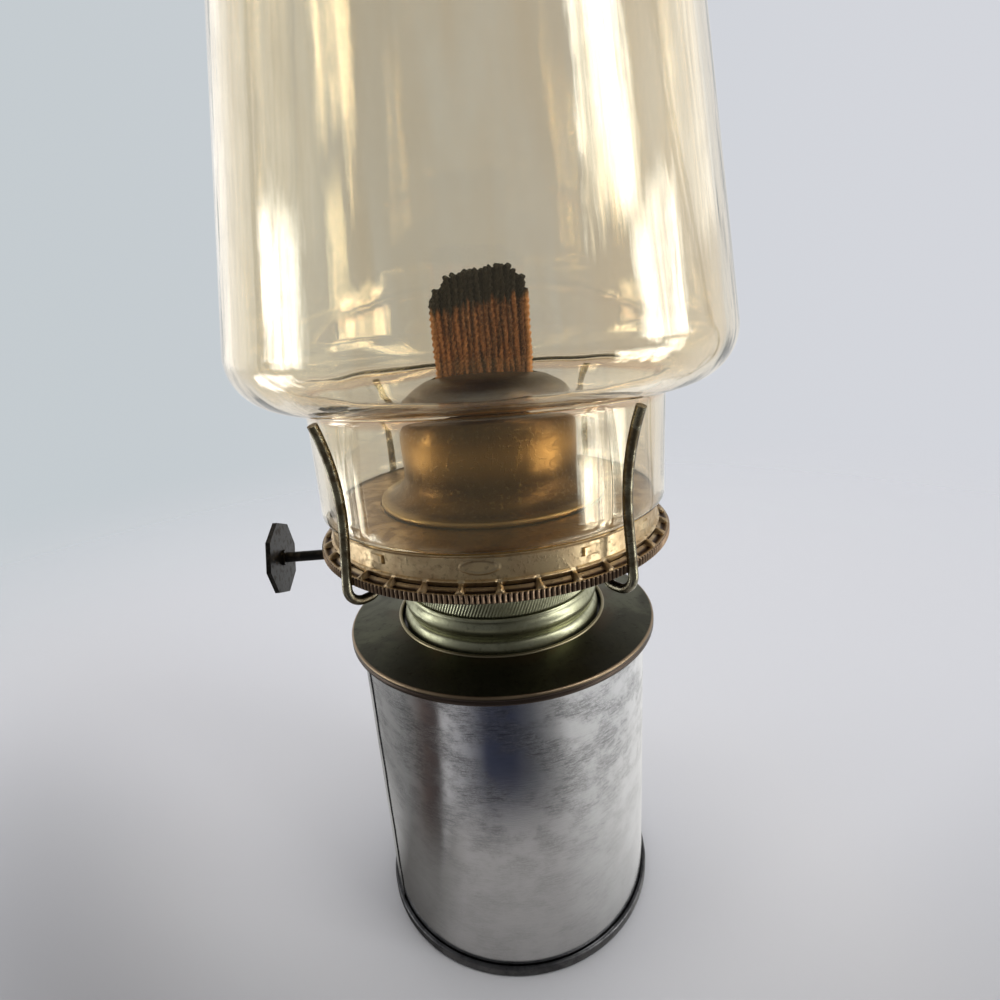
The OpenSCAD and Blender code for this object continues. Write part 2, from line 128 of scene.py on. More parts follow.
def arc(x, z, r, a0, a1, n=8):
    """Points of an arc in a profile, from angle a0 to angle a1 in degrees."""
    angles = [math.radians(a0 + (a1 - a0) * i / n) for i in range(n + 1)]
    return [(x + r * math.cos(a), z + r * math.sin(a)) for a in angles]


def mesh_object(name, verts, faces):
    mesh = bpy.data.meshes.new(name)
    mesh.from_pydata(verts, [], faces)
    mesh.validate()
    mesh.update()
    obj = bpy.data.objects.new(name, mesh)
    bpy.context.scene.collection.objects.link(obj)
    return obj


def outward(obj):
    """Points every face of a closed or open mesh the same way."""
    bm = bmesh.new()
    bm.from_mesh(obj.data)
    bmesh.ops.recalc_face_normals(bm, faces=bm.faces)
    bm.to_mesh(obj.data)
    bm.free()


def smooth(obj, degrees=35):
    obj.data.shade_smooth()
    obj.data.set_sharp_from_angle(angle=math.radians(degrees))


def lathe(name, profile, segments=256, shape=None, closed=True, keep=None, sharp=35, angles=None):
    """Turns a profile of (r, z) round the axis. shape may move a point, and keep may leave a face out."""
    angles = angles or [TAU * j / segments for j in range(segments)]
    segments = len(angles)
    verts = []
    rows = []
    for i, (r, z) in enumerate(profile):
        row = []
        if r < 1e-7:
            row = [len(verts)] * segments
            verts.append((0, 0, z))
        else:
            for a in angles:
                pr, pz = shape(i, a, r, z) if shape else (r, z)
                row.append(len(verts))
                verts.append((pr * math.cos(a), pr * math.sin(a), pz))
        rows.append(row)
    faces = []
    count = len(profile)
    for i in range(count if closed else count - 1):
        low, high = rows[i], rows[(i + 1) % count]
        for j in range(segments):
            if keep and not keep(i, j):
                continue
            k = (j + 1) % segments
            corners = [low[j], low[k], high[k], high[j]]
            unique = list(dict.fromkeys(corners))
            if len(unique) > 2:
                faces.append(unique)
    obj = mesh_object(name, verts, faces)
    outward(obj)
    smooth(obj, sharp)
    return obj


def apply_modifiers(obj):
    graph = bpy.context.evaluated_depsgraph_get()
    made = bpy.data.meshes.new_from_object(obj.evaluated_get(graph))
    obj.modifiers.clear()
    obj.data = made


def dress(obj, body, material, *nodes, slot=None):
    """Puts a piece on its body, hides the nodes that it stands for and gives it its finish."""
    obj.data.materials.clear()
    obj.data.materials.append(material)
    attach(obj, body)
    if nodes:
        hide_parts(*nodes)
    return obj


# Parts of materials
def nodes_of(name):
    mat = bpy.data.materials.new(name)
    mat.use_nodes = True
    nt = mat.node_tree
    nt.nodes.clear()
    out = nt.nodes.new("ShaderNodeOutputMaterial")
    bsdf = nt.nodes.new("ShaderNodeBsdfPrincipled")
    nt.links.new(bsdf.outputs[0], out.inputs[0])
    return mat, nt, bsdf, out


def put(nt, kind, links=None, **values):
    """Adds a node, sets its properties, and links or sets its inputs by name or number."""
    node = nt.nodes.new(kind)
    for key, value in values.items():
        setattr(node, key, value)
    for key, value in (links or {}).items():
        socket = node.inputs[key]
        if isinstance(value, bpy.types.NodeSocket):
            nt.links.new(value, socket)
        else:
            socket.default_value = value
    return node


def spot(nt):
    """The point itself, in metres."""
    return nt.nodes.new("ShaderNodeTexCoord").outputs["Object"]


def cloud(nt, scale, detail=3, rough=0.55, stretch=(1, 1, 1), warp=0.0):
    """Noise by place in millimetres, stretched along each axis."""
    per_mm = [s / MM for s in stretch]
    where = put(nt, "ShaderNodeVectorMath", {0: spot(nt), 1: per_mm}, operation="MULTIPLY").outputs[0]
    node = put(nt, "ShaderNodeTexNoise", {
        "Vector": where, "Scale": scale, "Detail": detail, "Roughness": rough, "Distortion": warp,
    })
    return node.outputs["Fac"]


def spread(nt, value, low, high, to_low=0.0, to_high=1.0):
    """Soft ramp from to_low at low to to_high at high."""
    node = put(nt, "ShaderNodeMapRange", {0: value, 1: low, 2: high, 3: to_low, 4: to_high})
    node.interpolation_type = "SMOOTHSTEP"
    return node.outputs[0]


def blend(nt, factor, a, b):
    """Colour a where the factor is zero, and colour b where it is one."""
    node = nt.nodes.new("ShaderNodeMix")
    node.data_type = "RGBA"
    for key, value in ((0, factor), (6, a), (7, b)):
        if isinstance(value, bpy.types.NodeSocket):
            nt.links.new(value, node.inputs[key])
        elif key == 0:
            node.inputs[0].default_value = value
        else:
            node.inputs[key].default_value = (*value, 1)
    return node.outputs[2]


def math_node(nt, operation, a, b=0.0):
    return put(nt, "ShaderNodeMath", {0: a, 1: b}, operation=operation).outputs[0]


def mul(nt, a, b):
    return math_node(nt, "MULTIPLY", a, b)


def add(nt, a, b):
    return math_node(nt, "ADD", a, b)


def less(nt, a, b):
    return math_node(nt, "SUBTRACT", a, b)


def over(nt, a, b):
    return math_node(nt, "DIVIDE", a, b)


def bump(nt, bsdf, height, depth):
    """Surface relief, depth in millimetres for a height of one."""
    node = put(nt, "ShaderNodeBump", {"Strength": 1.0, "Distance": depth * MM, "Height": height})
    nt.links.new(node.outputs[0], bsdf.inputs["Normal"])


def coat(nt, bsdf, colour, rough, metallic=0.0):
    """Gives a shader its colour, its roughness (one number or an output) and its metal."""
    nt.links.new(colour, bsdf.inputs["Base Color"])
    if isinstance(rough, bpy.types.NodeSocket):
        nt.links.new(rough, bsdf.inputs["Roughness"])
    else:
        bsdf.inputs["Roughness"].default_value = rough
    bsdf.inputs["Metallic"].default_value = metallic


def around(nt, where):
    """Azimuth in degrees of a direction or point: 0 on the camera's side, 90 towards +X."""
    parts = put(nt, "ShaderNodeSeparateXYZ", {0: where})
    turn = math_node(nt, "ARCTAN2", parts.outputs[0], mul(nt, parts.outputs[1], -1.0))
    return mul(nt, turn, 360 / TAU), parts


def round_place(nt):
    """Distance from the axis, and height, in millimetres."""
    where = spot(nt)
    level = (1 / MM, 1 / MM, 0)
    flat = put(nt, "ShaderNodeVectorMath", {0: where, 1: level}, operation="MULTIPLY").outputs[0]
    radius = put(nt, "ShaderNodeVectorMath", {0: flat}, operation="LENGTH").outputs["Value"]
    parts = put(nt, "ShaderNodeSeparateXYZ", {0: where})
    return radius, over(nt, parts.outputs[2], MM)


def band(nt, value, low, high, soft):
    """One between low and high, and zero outside, with soft edges."""
    rise = spread(nt, value, low - soft, low + soft)
    fall = spread(nt, value, high - soft, high + soft, 1.0, 0.0)
    return mul(nt, rise, fall)


# Finishes
def aged_metal(name, bright, dull, rough, patch=0.12, grain=0.02):
    """Polished or tarnished sheet metal: patches, specks, and a fine drawn grain."""
    speck_tone = [c * 0.55 for c in dull]
    patch_wear = 0.6
    mat, nt, bsdf, _ = nodes_of(name)
    patches = spread(nt, cloud(nt, patch, 4, 0.6, warp=0.6), 0.38, 0.62)
    specks = spread(nt, cloud(nt, 0.9, 3, 0.6), 0.5, 0.75)
    drawn = cloud(nt, 1.2, 2, 0.5, (1, 1, 8))
    colour = blend(nt, patches, bright, dull)
    colour = blend(nt, mul(nt, specks, 0.55), colour, speck_tone)
    wear = add(nt, mul(nt, patches, patch_wear), mul(nt, specks, 1 - patch_wear))
    coat(nt, bsdf, colour, spread(nt, wear, 0.0, 1.0, *rough), metallic=1.0)
    bump(nt, bsdf, drawn, grain)
    return mat


def seam_stray(nt, height):
    """What seam_wobble gives, for a material."""
    total = 0.0
    for size, length, phase in SEAM_WAVES:
        wave = math_node(nt, "SINE", add(nt, over(nt, height, length), phase))
        total = add(nt, total, mul(nt, wave, size))
    return total


def tinplate():
    """Tarnished tinplate: worn patches, brushed stains, a fine grain and the crack along the seam."""
    bright, worn_tone = (0.66, 0.665, 0.68), (0.56, 0.565, 0.575)
    stain_tone, grain_tone = (0.13, 0.13, 0.14), (0.40, 0.40, 0.41)
    crack_tone = (0.012, 0.012, 0.014)
    least_worn = 0.25
    mat, nt, bsdf, _ = nodes_of("tinplate")
    grain = cloud(nt, 1.0, 3, 0.6, (0.35, 0.35, 6))
    mottle = spread(nt, cloud(nt, 0.13, 5, 0.62, (1, 1, 1.3)), 0.38, 0.62)
    brushed = spread(nt, cloud(nt, 1.1, 5, 0.75, (0.35, 0.35, 2.6)), 0.46, 0.60)
    specks = spread(nt, cloud(nt, 2.4, 4, 0.78, (0.8, 0.8, 1.3)), 0.46, 0.60)
    azimuth, parts = around(nt, spot(nt))
    height = over(nt, parts.outputs[2], MM)
    high = spread(nt, height, 20, 62)
    worn = mul(nt, mottle, add(nt, mul(nt, high, 1 - least_worn), least_worn))
    stain = mul(nt, worn, math_node(nt, "MAXIMUM", mul(nt, specks, 0.8), brushed))
    colour = blend(nt, worn, bright, worn_tone)
    colour = blend(nt, mul(nt, stain, 0.72), colour, stain_tone)
    colour = blend(nt, spread(nt, grain, 0.35, 0.75, 0.0, 0.22), colour, grain_tone)
    arc_mm = mul(nt, less(nt, azimuth, math.degrees(SEAM_AT) + 90), CAN_R / MM * TAU / 360)
    crack = band(nt, less(nt, arc_mm, seam_stray(nt, height)), -0.12, 0.3, 0.07)
    colour = blend(nt, mul(nt, crack, 0.92), colour, crack_tone)
    coat(nt, bsdf, colour, spread(nt, worn, 0, 1, 0.14, 0.25), metallic=1.0)
    bump(nt, bsdf, grain, 0.008)
    return mat


def lustre_glass():
    """Blown glass with an amber lustre film, and painted shade in the fold of its shoulder, a browner tint.
    """
    pale, deep, fold_shade_tone = (0.99, 0.915, 0.765), (0.965, 0.86, 0.68), (0.80, 0.60, 0.44)
    shadow_tone = (0.93, 0.86, 0.70, 1)
    shoulder = SHOULDER_Z / MM
    mat, nt, bsdf, out = nodes_of("lustre_glass")
    streak = cloud(nt, 0.09, 3, 0.55, (1, 1, 0.10), 0.4)
    colour = blend(nt, spread(nt, streak, 0.35, 0.65), pale, deep)
    _, height = round_place(nt)
    # Painted shade: a browner band in the shoulder's fold, where the thick glass looks darker
    fold = band(nt, height, shoulder - 2.4, shoulder + 0.5, 0.7)
    colour = blend(nt, mul(nt, fold, 0.8), colour, fold_shade_tone)
    coat(nt, bsdf, colour, 0.0)
    bsdf.inputs["IOR"].default_value = 1.36
    bsdf.inputs["Transmission Weight"].default_value = 1.0
    bsdf.inputs["Thin Film IOR"].default_value = 1.62
    bsdf.inputs["Thin Film Thickness"].default_value = 112
    slow = mul(nt, cloud(nt, 0.09, 2, 0.5, (1, 1, 0.2)), 0.10)
    drawn = mul(nt, cloud(nt, 0.5, 2, 0.6, (1, 1, 0.03)), 0.012)
    bump(nt, bsdf, add(nt, slow, drawn), 1.0)
    clear = put(nt, "ShaderNodeBsdfTransparent", {"Color": shadow_tone}).outputs[0]
    shadow = nt.nodes.new("ShaderNodeLightPath").outputs["Is Shadow Ray"]
    mix = put(nt, "ShaderNodeMixShader", {0: shadow, 1: bsdf.outputs[0], 2: clear})
    nt.links.new(mix.outputs[0], out.inputs[0])
    return mat


def black_steel():
    black, rubbed = (0.012, 0.011, 0.010), (0.05, 0.043, 0.037)
    mat, nt, bsdf, _ = nodes_of("black_steel")
    wear = spread(nt, cloud(nt, 0.8, 3, 0.6), 0.45, 0.7)
    coat(nt, bsdf, blend(nt, wear, black, rubbed), spread(nt, wear, 0, 1, 0.35, 0.6), metallic=0.6)
    bump(nt, bsdf, cloud(nt, 2.5, 3), 0.03)
    return mat


def wick_cotton():
    """Oil-stained cotton, paler along its sides and charred at the top."""
    dark_yarn, red_yarn, loose_fibre = (0.075, 0.026, 0.014), (0.30, 0.115, 0.042), (0.50, 0.25, 0.11)
    side_tone, char_tone = (0.62, 0.30, 0.12), (0.010, 0.009, 0.009)
    char_from, char_to = wick_high.z - 12 * MM, wick_high.z - 3.5 * MM
    mat, nt, bsdf, _ = nodes_of("wick_cotton")
    parts = put(nt, "ShaderNodeSeparateXYZ", {0: spot(nt)})
    fibre = cloud(nt, 2.2, 3, 0.6, (2, 2, 0.6))
    columns = cloud(nt, 0.55, 3, 0.6, (1, 0.2, 0.14), 0.5)
    colour = blend(nt, spread(nt, columns, 0.40, 0.60), dark_yarn, red_yarn)
    colour = blend(nt, spread(nt, fibre, 0.42, 0.72, 0, 0.5), colour, loose_fibre)
    sides = spread(nt, math_node(nt, "ABSOLUTE", parts.outputs[0]), 8.9 * MM, 10.2 * MM, 0, 0.75)
    colour = blend(nt, sides, colour, side_tone)
    tilted = less(nt, parts.outputs[2], mul(nt, parts.outputs[0], 0.16))
    ragged = mul(nt, less(nt, columns, 0.5), -1.2)
    edge = add(nt, spread(nt, tilted, char_from, char_to), ragged)
    colour = blend(nt, spread(nt, edge, 0.25, 0.65), colour, char_tone)
    coat(nt, bsdf, colour, 0.85)
    bump(nt, bsdf, fibre, 0.12)
    return mat


def plate_finish():
    """Dark olive brass with a worn coppery edge."""
    olive, dark_olive, speck_tone = (0.092, 0.093, 0.056), (0.062, 0.060, 0.038), (0.03, 0.024, 0.014)
    inner_tone, edge_tone = (0.14, 0.09, 0.05), (0.27, 0.20, 0.13)
    lip_tone, bead_tone = (0.075, 0.056, 0.045), (0.33, 0.285, 0.18)
    wide, top, hole = PLATE_R / MM, PLATE_TOP / MM, PLATE_HOLE / MM
    mat, nt, bsdf, _ = nodes_of("plate_brass")
    radius, height = round_place(nt)
    patches = spread(nt, cloud(nt, 0.10, 4, 0.6, warp=0.6), 0.36, 0.64)
    specks = spread(nt, cloud(nt, 0.9, 3, 0.6), 0.52, 0.75)
    colour = blend(nt, patches, olive, dark_olive)
    colour = blend(nt, mul(nt, specks, 0.5), colour, speck_tone)
    inner = spread(nt, radius, 24.5, 29.0, 0.55, 0.0)
    colour = blend(nt, mul(nt, inner, patches), colour, inner_tone)
    outermost = spread(nt, radius, wide - 0.6, wide - 0.35)
    edge = mul(nt, outermost, spread(nt, height, top - 0.6, top - 0.35))
    colour = blend(nt, edge, colour, edge_tone)
    colour = blend(nt, spread(nt, height, top - 0.65, top - 0.4, 1.0, 0.0), colour, lip_tone)
    colour = blend(nt, spread(nt, radius, hole + 0.75, hole + 0.85, 1.0, 0.0), colour, bead_tone)
    coat(nt, bsdf, colour, spread(nt, patches, 0.0, 1.0, 0.32, 0.42), metallic=1.0)
    bump(nt, bsdf, specks, 0.012)
    return mat


def gallery_finish():
    """Brown aged brass: dark milled rim, lighter band, and a golden deck."""
    bright, dull = (0.70, 0.55, 0.33), (0.53, 0.39, 0.23)
    deck_bright, deck_dull = (0.38, 0.245, 0.095), (0.25, 0.155, 0.065)
    shelf_tone, rim_tone = (0.20, 0.13, 0.08), (0.30, 0.21, 0.14)
    groove_tone, speck_tone = (0.035, 0.02, 0.015), (0.12, 0.075, 0.045)
    wide, foot, top = RIM_R / MM, RIM_Z / MM, DECK_Z / MM
    mat, nt, bsdf, _ = nodes_of("gallery_brass")
    radius, height = round_place(nt)
    patches = spread(nt, cloud(nt, 0.18, 4, 0.6, warp=0.6), 0.38, 0.62)
    specks = spread(nt, cloud(nt, 1.0, 3, 0.65), 0.5, 0.72)
    colour = blend(nt, patches, bright, dull)
    deck = blend(nt, patches, deck_bright, deck_dull)
    colour = blend(nt, spread(nt, height, top - 0.35, top - 0.2), colour, deck)
    shelf = band(nt, height, foot + 1.8, foot + 2.9, 0.25)
    colour = blend(nt, mul(nt, shelf, 0.45), colour, shelf_tone)
    rim = spread(nt, height, foot + 1.6, foot + 1.9, 1.0, 0.0)
    colour = blend(nt, rim, colour, rim_tone)
    groove = spread(nt, radius, wide - 0.34, wide - 0.04, 0.93, 0.0)
    colour = blend(nt, mul(nt, groove, rim), colour, groove_tone)
    colour = blend(nt, mul(nt, specks, 0.45), colour, speck_tone)
    coat(nt, bsdf, colour, spread(nt, patches, 0.0, 1.0, 0.32, 0.46), metallic=1.0)
    bump(nt, bsdf, specks, 0.03)
    return mat


def dome_finish():
    """Golden-brown brass with a painted highlight round the middle of its wall, darker over the top."""
    brown, dark_brown, painted_highlight_tone = (0.15, 0.085, 0.032), (0.10, 0.055, 0.022), (0.48, 0.285, 0.10)
    foot_tone, speck_tone, top_tone = (0.42, 0.30, 0.14), (0.34, 0.24, 0.11), (0.075, 0.055, 0.035)
    deck, dome_top = DECK_Z / MM, DOME_TOP / MM
    mat, nt, bsdf, _ = nodes_of("dome_brass")
    _, height = round_place(nt)
    patches = spread(nt, cloud(nt, 0.14, 4, 0.6, warp=0.8), 0.30, 0.70)
    specks = spread(nt, cloud(nt, 1.1, 4, 0.7), 0.52, 0.72)
    colour = blend(nt, patches, brown, dark_brown)
    # Painted highlight: a golden band round the middle of the wall, where the side highlights fall
    painted_highlight = band(nt, height, deck + 9, deck + 15, 3.5)
    colour = blend(nt, mul(nt, painted_highlight, 0.85), colour, painted_highlight_tone)
    foot = spread(nt, height, deck + 1.0, deck + 1.6, 1.0, 0.0)
    colour = blend(nt, foot, colour, foot_tone)
    colour = blend(nt, mul(nt, specks, 0.35), colour, speck_tone)
    # Darker over the top of the dome
    ragged = add(nt, height, mul(nt, patches, 3.0))
    top = spread(nt, ragged, dome_top - 10, dome_top - 3)
    colour = blend(nt, mul(nt, top, 0.8), colour, top_tone)
    coat(nt, bsdf, colour, spread(nt, patches, 0.0, 1.0, 0.28, 0.35), metallic=1.0)
    bump(nt, bsdf, specks, 0.04)
    return mat


# Font
def seam_wobble(z):
    """How far the lapped seam's edge strays along its height, in millimetres of arc."""
    return sum(size * math.sin(z / (length * MM) + phase) for size, length, phase in SEAM_WAVES)


def font_body(material):
    step = 0.12 * MM
    lap = 4.2 * MM
    groove, groove_at, groove_width = 0.3 * MM, 0.1 * MM, 0.14 * MM
    rows = 60
    fine = 0.07 * MM / CAN_R
    before, after, rest_count = 75, 40, 400

    def shape(i, a, r, z):
        if r < CAN_R - TIN / 2:
            return r, z
        away = ((a - SEAM_AT + math.pi) % TAU - math.pi) * CAN_R - seam_wobble(z) * MM
        raised = step if -lap < away < 0 else -step
        cut = math.exp(-((away - groove_at) / groove_width) ** 2)
        return r + raised - groove * cut, z

    seam_angles = [SEAM_AT + d * fine for d in range(-before, after)]
    rest = TAU - (before + after) * fine
    rest_angles = [SEAM_AT + after * fine + rest * k / rest_count for k in range(rest_count)]
    heights = [font_low.z + (font_high.z - font_low.z) * k / rows for k in range(rows + 1)]
    profile = [(CAN_R - step, z) for z in heights] + [(CAN_R - TIN, z) for z in reversed(heights)]
    obj = lathe("font_body", profile, shape=shape, angles=seam_angles + rest_angles)
    return dress(obj, "font", material, "can_body", slot="tinplate")


def font_bottom(material):
    soft = 0.5 * MM
    sink = 1.8 * MM
    hook = 0.6 * MM
    dish_low = 0.3 * MM
    gap = 0.05 * MM
    body_in = CAN_R - TIN
    profile = [(0, sink), (body_in - 3 * hook, sink), (body_in - hook, dish_low)]
    profile += arc(SEAM_R - soft, soft, soft, -90, 0, 6)
    profile += arc(SEAM_R - soft, SEAM_TOP - soft, soft, 0, 90, 6)
    profile += [(CAN_R, SEAM_TOP - gap), (CAN_R, TIN), (body_in, TIN), (body_in, SEAM_TOP)]
    profile += [(body_in - hook, SEAM_TOP), (body_in - hook, sink + TIN), (0, sink + TIN)]
    obj = lathe("font_bottom", profile, closed=False, sharp=50)
    return dress(obj, "font", material, "can_bottom", slot="dark_tin")


def hanging_plate(material):
    sheet = 0.6 * MM
    soft = 0.6 * MM
    edge = 0.15 * MM
    score_depth = 0.1 * MM
    top, low = PLATE_TOP, plate_low.z
    score_z = top - 1.0 * MM
    flat = PLATE_R - 2 * sheet
    lip_in = PLATE_R - sheet

    def cone(r):
        return top + PLATE_RISE * (flat - r) / (flat - PLATE_HOLE)

    profile = [(PLATE_HOLE, cone(PLATE_HOLE) - sheet), (flat, top - sheet)]
    profile += [(lip_in, top - sheet), (lip_in, low)]
    profile += [(PLATE_R - edge, low), (PLATE_R, low + edge), (PLATE_R, score_z - edge)]
    profile += [(PLATE_R - score_depth, score_z), (PLATE_R, score_z + edge)]
    profile += arc(PLATE_R - soft, top - soft, soft, 0, 90, 6)
    profile += [(flat, top)] + [(r * MM, cone(r * MM)) for r in (33, 31, 29, 27)]
    profile += arc(PLATE_HOLE + PLATE_BEAD, cone(PLATE_HOLE), PLATE_BEAD, 0, 200, 10)
    obj = lathe("hanging_plate", profile, sharp=50)
    return dress(obj, "font", material, "top_plate", slot="plate_brass")


def collar_ring(material):
    """Collar with a wide lower bead, and a narrower upper one."""
    lower_points, upper_points = 14, 20
    lower_share, lower_start = 0.46, 0.35
    upper_from, upper_share, upper_bulge = 0.49, 0.45, 0.9 * MM
    inner = bore("collar")
    wall = inner + 1.1 * MM
    wide = collar_high.x
    low, top = collar_low.z, collar_high.z
    tin_top = low + 1.4 * MM
    height = top - tin_top
    profile = [(inner, low), (wall, low), (wall, tin_top), (wide - 0.2 * MM, tin_top)]
    for k in range(lower_points + 1):
        a = math.radians(90 * k / lower_points)
        lift = lower_start + (1 - lower_start) * math.sin(a)
        profile.append((wall + (wide - wall) * math.cos(a), tin_top + height * lower_share * lift))
    for k in range(upper_points + 1):
        t = k / upper_points
        bulge = upper_bulge * math.sin(math.pi * t) ** 0.8
        profile.append((wall + bulge, tin_top + height * (upper_from + upper_share * t)))
    profile += [(wall, top), (inner, top)]
    obj = lathe("collar_ring", profile, sharp=60)
    return dress(obj, "font", material, "collar", slot="collar_brass")


# Burner
def knurled_base(material):
    ridges = 200
    slant = -0.4
    depth = 0.15 * MM
    edge = 0.25 * MM
    band_rows, thread_rings, ring_points = 12, 3, 8
    band_r, top = base_high.x, base_high.z
    band_z = top - 3.8 * MM
    thread_r = band_r - 1.05 * MM
    inner = thread_r - 1.0 * MM
    shell_low = base_low.z
    pitch = (band_z - shell_low) / (thread_rings + 1)

    def shape(i, a, r, z):
        if r < band_r - 0.01 * MM:
            return r, z
        wave = math.cos(ridges * (a + slant * (z - band_z) / band_r))
        return r - depth * (0.5 - 0.5 * wave), z

    profile = [(inner, shell_low), (thread_r - SHEET, shell_low)]
    for i in range(thread_rings * ring_points):
        dip = SHEET / 2 * (1 - math.sin(math.radians(360 * i / ring_points - 90)))
        profile.append((thread_r - dip, shell_low + pitch * (0.2 + i / ring_points)))
    profile += [(thread_r - SHEET, band_z), (band_r - edge, band_z)]
    band_h = top - band_z - 2 * edge
    profile += [(band_r, band_z + edge + band_h * k / band_rows) for k in range(band_rows + 1)]
    profile += [(band_r - edge, top), (inner + SHEET, top), (inner + SHEET, band_z + SHEET)]
    profile += [(inner, band_z + SHEET)]
    obj = lathe("knurled_base", profile, 8 * ridges, shape, sharp=60)
    return dress(obj, "burner", material, "burner_base", slot="collar_brass")


# Pressed windows of the gallery, steps round it for each of them, and ridges of its milled rim
WINDOWS = 34
STEPS = 45
RIDGES = 255
OVAL_AT = math.radians(-95.3)
TABS_OFF = 21.0 * MM
DECK_R = 37.4 * MM
BAND_R = 36.45 * MM


def from_rib(a):
    """Steps from the middle of the nearest rib between two windows."""
    return abs((a / TAU * WINDOWS * STEPS) % STEPS - STEPS / 2)


def rib_half(t):
    """Half width of a rib, in steps, from the rim's side of the shelf to the band's."""
    return 4.6 * (1.2 - 0.75 * t)


def mark(a, up):
    """Height of the embossed ovals and tabs on the plain band, a quarter turn apart."""
    oval_high, oval_wide, oval_tall, oval_line = 0.20, 3.3, 1.25, 0.12
    tab_high, tab_tall, tab_half, cut_depth, cut_end = 0.30, 0.75, 1.7, 0.32, 2.3
    across = BAND_R * (((a - OVAL_AT + math.pi / 4) % (math.pi / 2)) - math.pi / 4)
    oval = math.hypot(across / (oval_wide * MM), up / oval_tall)
    height = oval_high * math.exp(-((oval - 1) / oval_line) ** 2)
    side = (abs(across) - TABS_OFF) / MM
    if abs(up) < tab_tall and -tab_half < side < tab_half:
        height += tab_high * (tab_half - side) / (2 * tab_half)
    if abs(up) < tab_tall and -cut_end < side <= -tab_half:
        height -= cut_depth
    return height * MM


def gallery_crown(material):
    """Milled rim, shelf of pressed windows, plain band with embossed marks, and deck, from one sheet."""
    tooth, crest, pocket = 0.40 * MM, 0.35 * MM, 0.8 * MM
    out_share, up_share = 0.52, 0.855
    edge = 0.3 * MM
    rows, band_rows = 12, 22
    rib_margin = 1.2
    rim_in = RIM_R - 1.2 * MM
    shelf_low, shelf_high = RIM_Z + 1.85 * MM, RIM_Z + 3.0 * MM
    shelf_out, shelf_in = RIM_R - 0.5 * MM, BAND_R + 0.35 * MM
    band_low, band_high = RIM_Z + 3.55 * MM, RIM_Z + 7.5 * MM
    mark_z = RIM_Z + 5.9 * MM
    profile = [(rim_in, RIM_Z), (RIM_R - edge, RIM_Z)]
    rim_first = len(profile)
    profile += [(RIM_R, RIM_Z + h * MM) for h in (0.2, 0.5, 0.9, 1.3, 1.55)]
    rim_last = len(profile) - 1
    profile += [(RIM_R - edge, RIM_Z + 1.8 * MM)]
    shelf_first = len(profile)
    for k in range(rows + 1):
        t = k / rows
        profile.append((shelf_out + (shelf_in - shelf_out) * t, shelf_low + (shelf_high - shelf_low) * t))
    shelf_last = len(profile) - 1
    profile += [(BAND_R + out * MM, RIM_Z + h * MM) for out, h in ((0.3, 3.15), (0.15, 3.3), (0, 3.45))]
    band_first = len(profile)
    profile += [(BAND_R, band_low + (band_high - band_low) * k / band_rows) for k in range(band_rows + 1)]
    band_last = len(profile) - 1
    profile += [(BAND_R + 0.15 * MM, RIM_Z + 7.75 * MM), (DECK_R - 0.35 * MM, RIM_Z + 8.0 * MM)]
    profile += arc(DECK_R - edge, DECK_Z - edge, edge, -60, 90, 6)
    profile += [(r * MM, DECK_Z) for r in (36, 34, 31, 28, 25.6)]

    def lifted(i, off):
        """How far a point of the shelf stands up, as a rib, or lies sunk, as a window."""
        t = (i - shelf_first) / rows
        half = rib_half(t)
        if off < half:
            return crest * (1 - off / half) * math.sin(math.pi * min(1.0, 0.15 + t)) ** 0.5
        if t > 0.93:
            return 0.0
        return -pocket * min(1.0, (off - half) / rib_margin) * min(1.0, t / 0.3)

    def shape(i, a, r, z):
        if rim_first <= i <= rim_last:
            wave = 0.5 + 0.5 * math.cos(RIDGES * a)
            return r - tooth * (1 - wave ** 0.7), z
        off = from_rib(a)
        if shelf_first < i <= shelf_last:
            lift = lifted(i, off)
            return r + out_share * lift, z + up_share * lift
        if i == shelf_last + 1 or i == shelf_last + 2:
            over_window = min(1.0, max(0.0, (off - 2.5) / 3.0))
            return r + 0.22 * MM * over_window, z
        if band_first < i < band_last:
            return r + mark(a, (z - mark_z) / MM), z
        return r, z

    def keep(i, j):
        row = i - shelf_first
        if row != rows - 2:
            return True
        return from_rib(TAU * (j + 0.5) / (WINDOWS * STEPS)) < rib_half(row / rows) + rib_margin

    obj = lathe("gallery_crown", profile, WINDOWS * STEPS, shape, closed=False, keep=keep, sharp=40)
    mod = obj.modifiers.new("sheet", "SOLIDIFY")
    mod.thickness = SHEET
    mod.offset = -1
    apply_modifiers(obj)
    smooth(obj, 40)
    return dress(obj, "burner", material, "gallery", slot="gallery_brass")


def flat_slot(x, y, z0, z1, turns=16):
    """Closed prism with round ends, to cut the slot for the wick."""
    outline = []
    for side in (1, -1):
        for k in range(turns + 1):
            a = math.radians(180 * k / turns - 90 * side)
            outline.append((side * (x - y) + y * math.cos(a), y * math.sin(a)))
    n = len(outline)
    verts = [(px, py, z) for z in (z0, z1) for px, py in outline]
    faces = [[i, (i + 1) % n, n + (i + 1) % n, n + i] for i in range(n)]
    faces += [list(range(n))[::-1], [n + i for i in range(n)]]
    return mesh_object("slot_cutter", verts, faces)


